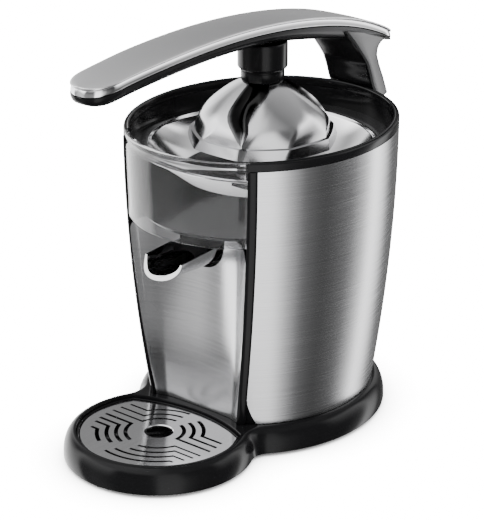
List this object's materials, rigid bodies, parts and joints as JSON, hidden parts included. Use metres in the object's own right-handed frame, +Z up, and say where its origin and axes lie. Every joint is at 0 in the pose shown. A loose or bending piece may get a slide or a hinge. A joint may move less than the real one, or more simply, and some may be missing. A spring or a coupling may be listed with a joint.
{
  "type": "citrus press juicer",
  "caption": "Lever citrus press: swirled reamer in an oval steel body, smoke juice collector, tilting spout and slotted drip tray in front.",
  "frame": {"origin": "middle of the object's outer box, on the table", "axes": "+Z up, -Y towards the spout and drip tray, +X to the right seen from the front"},
  "size_m": [0.16, 0.2784, 0.2588],
  "materials": {
    "gloss_black": "high gloss",
    "matt_black": "matt",
    "rubber": "moulded",
    "brushed_steel": "horizontal brushing",
    "polished_steel": "polished",
    "chrome": "mirror",
    "satin_aluminium": "satin",
    "grey_plastic": "satin",
    "smoke_plastic": "clear, smoke tint",
    "plated_steel": "zinc plated",
    "ferrite": "sintered",
    "bronze": "sintered",
    "gear_plastic": "moulded"
  },
  "bodies": {
    "base": {"base_plinth": "gloss_black", "base_plate": "matt_black", "foot_1": "rubber", "foot_2": "rubber", "foot_3": "rubber", "foot_4": "rubber", "foot_5": "rubber", "base_screw_1": "plated_steel", "base_screw_2": "plated_steel", "base_screw_3": "plated_steel", "base_screw_4": "plated_steel", "cord_gland": "rubber", "body_shell": "brushed_steel", "chassis": "gloss_black", "top_ring": "gloss_black", "edge_trim_left": "gloss_black", "edge_trim_right": "gloss_black", "front_panel": "brushed_steel", "spout_socket": "matt_black", "hinge_bracket": "gloss_black", "hinge_pin": "plated_steel", "motor_can": "plated_steel", "motor_end_cap": "matt_black", "motor_magnet_left": "ferrite", "motor_magnet_right": "ferrite", "gearbox_base": "gear_plastic", "gearbox_cover": "gear_plastic", "gearbox_screw_1": "plated_steel", "gearbox_screw_2": "plated_steel", "gearbox_screw_3": "plated_steel", "compound_axle": "plated_steel", "output_bush": "bronze", "shaft_bush": "bronze", "shaft_seal": "rubber", "micro_switch": "matt_black", "collector": "smoke_plastic", "sieve_carrier": "smoke_plastic", "sieve": "polished_steel"},
    "rotor": {"motor_rotor": "plated_steel", "motor_pinion": "bronze"},
    "compound": {"compound_gear": "gear_plastic"},
    "output": {"output_gear": "gear_plastic", "return_spring": "plated_steel"},
    "spindle": {"drive_shaft": "plated_steel", "reamer_hub": "matt_black", "reamer": "polished_steel"},
    "button": {"switch_button": "gear_plastic"},
    "spout": {"spout": "chrome"},
    "dish": {"drip_dish": "gloss_black"},
    "grid": {"drip_grid": "brushed_steel"},
    "lever": {"arm_cover": "satin_aluminium", "arm_band": "chrome", "arm_underside": "gloss_black", "leg_front": "gloss_black", "leg_shell": "grey_plastic", "lever_core": "plated_steel", "plunger_sleeve": "gloss_black", "press_spring": "plated_steel"},
    "press": {"press_foot": "gloss_black"}
  },
  "joints": [
    {"name": "arm_hinge", "type": "hinge", "parent": "base", "child": "lever", "pos_m": [0, 0.12525, 0.168], "axis": [-1, 0, 0], "range_deg": [0, 80]},
    {"name": "press_foot_travel", "type": "slide", "parent": "lever", "child": "press", "axis": [0, 0, 1], "range_m": [0, 0.003], "stiffness_N_per_m": 1500, "springref_m": -0.002, "deforming": ["press_spring"]},
    {"name": "drive_spin", "type": "hinge", "parent": "base", "child": "output", "pos_m": [0, 0.02125, 0.108], "axis": [0, 0, 1], "continuous": true},
    {"name": "compound_spin", "type": "hinge", "parent": "base", "child": "compound", "pos_m": [0.02652, 0.04777, 0.1], "axis": [0, 0, 1], "continuous": true},
    {"name": "rotor_spin", "type": "hinge", "parent": "base", "child": "rotor", "pos_m": [0, 0.0618, 0.06], "axis": [0, 0, 1], "continuous": true},
    {"name": "shaft_press", "type": "slide", "parent": "output", "child": "spindle", "axis": [0, 0, -1], "range_m": [0, 0.002], "stiffness_N_per_m": 4000, "springref_m": -0.002, "deforming": ["return_spring"]},
    {"name": "switch_travel", "type": "slide", "parent": "base", "child": "button", "axis": [0, 0, -1], "range_m": [0, 0.002]},
    {"name": "spout_tilt", "type": "hinge", "parent": "base", "child": "spout", "pos_m": [0, -0.03075, 0.129], "axis": [-1, 0, 0], "range_deg": [0, 14]},
    {"name": "dish_lift", "type": "slide", "parent": "base", "child": "dish", "axis": [0, 0, 1], "range_m": [0, 0.04]},
    {"name": "grid_lift", "type": "slide", "parent": "dish", "child": "grid", "axis": [0, 0, 1], "range_m": [0, 0.04]}
  ],
  "couplings": [
    {"joint": "compound_spin", "follows": "drive_spin", "ratio": -4},
    {"joint": "rotor_spin", "follows": "drive_spin", "ratio": 16},
    {"joint": "switch_travel", "follows": "shaft_press", "ratio": 1}
  ]
}
